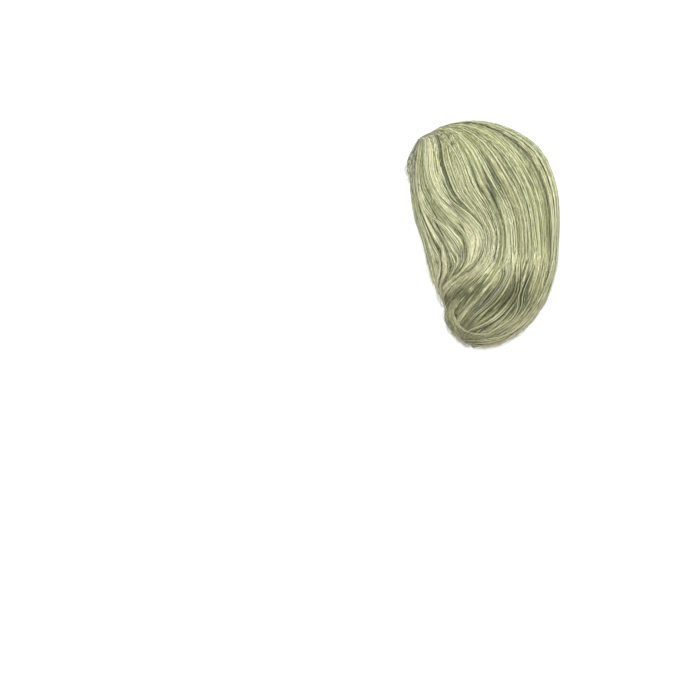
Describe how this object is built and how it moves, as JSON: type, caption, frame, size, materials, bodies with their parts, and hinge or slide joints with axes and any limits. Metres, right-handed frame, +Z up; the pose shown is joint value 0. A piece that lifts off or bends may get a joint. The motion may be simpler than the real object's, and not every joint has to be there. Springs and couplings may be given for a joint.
{
  "type": "claw clip ponytail",
  "caption": "Short, full false ponytail whose grey hair falls from the crown and curls under, round a hidden claw clip.",
  "frame": {"origin": "the seat: the middle of the claw clip's mouth, on the line that the tips of its teeth lie along, where it grips the wearer's own gathered hair", "axes": "+Z up as worn, +X straight out of the back of the head, -Y the wearer's left"},
  "size_m": [0.1449, 0.1212, 0.2185],
  "materials": {
    "grey_hair": "satin",
    "under_hair": "satin",
    "clip_plastic": "smooth"
  },
  "bodies": {
    "root": {"claw_clip": "clip_plastic", "inner_weft": "under_hair", "left_front_weft": "grey_hair", "left_middle_weft": "grey_hair", "left_back_weft": "grey_hair", "right_front_weft": "grey_hair", "right_middle_weft": "grey_hair", "right_back_weft": "grey_hair"}
  },
  "joints": []
}
